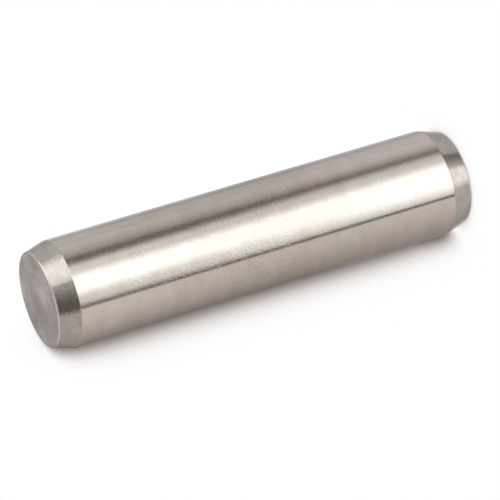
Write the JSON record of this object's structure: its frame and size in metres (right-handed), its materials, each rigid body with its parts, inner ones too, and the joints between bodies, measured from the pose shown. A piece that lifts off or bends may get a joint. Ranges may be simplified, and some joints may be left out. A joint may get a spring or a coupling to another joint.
{
  "type": "dowel pin",
  "caption": "Solid ground-steel dowel pin: a plain cylinder with a tapered lead-in and a flat face at each end.",
  "frame": {"origin": "centre of the end face that the pin stands on", "axes": "+Z along the pin's axis, from the lower end face to the upper one"},
  "size_m": [0.012, 0.012, 0.05],
  "materials": {
    "ground_steel": "centreless-ground satin steel shank, turned lead-ins and faced ends"
  },
  "bodies": {
    "root": {"dowel_pin": "ground_steel"}
  },
  "joints": []
}
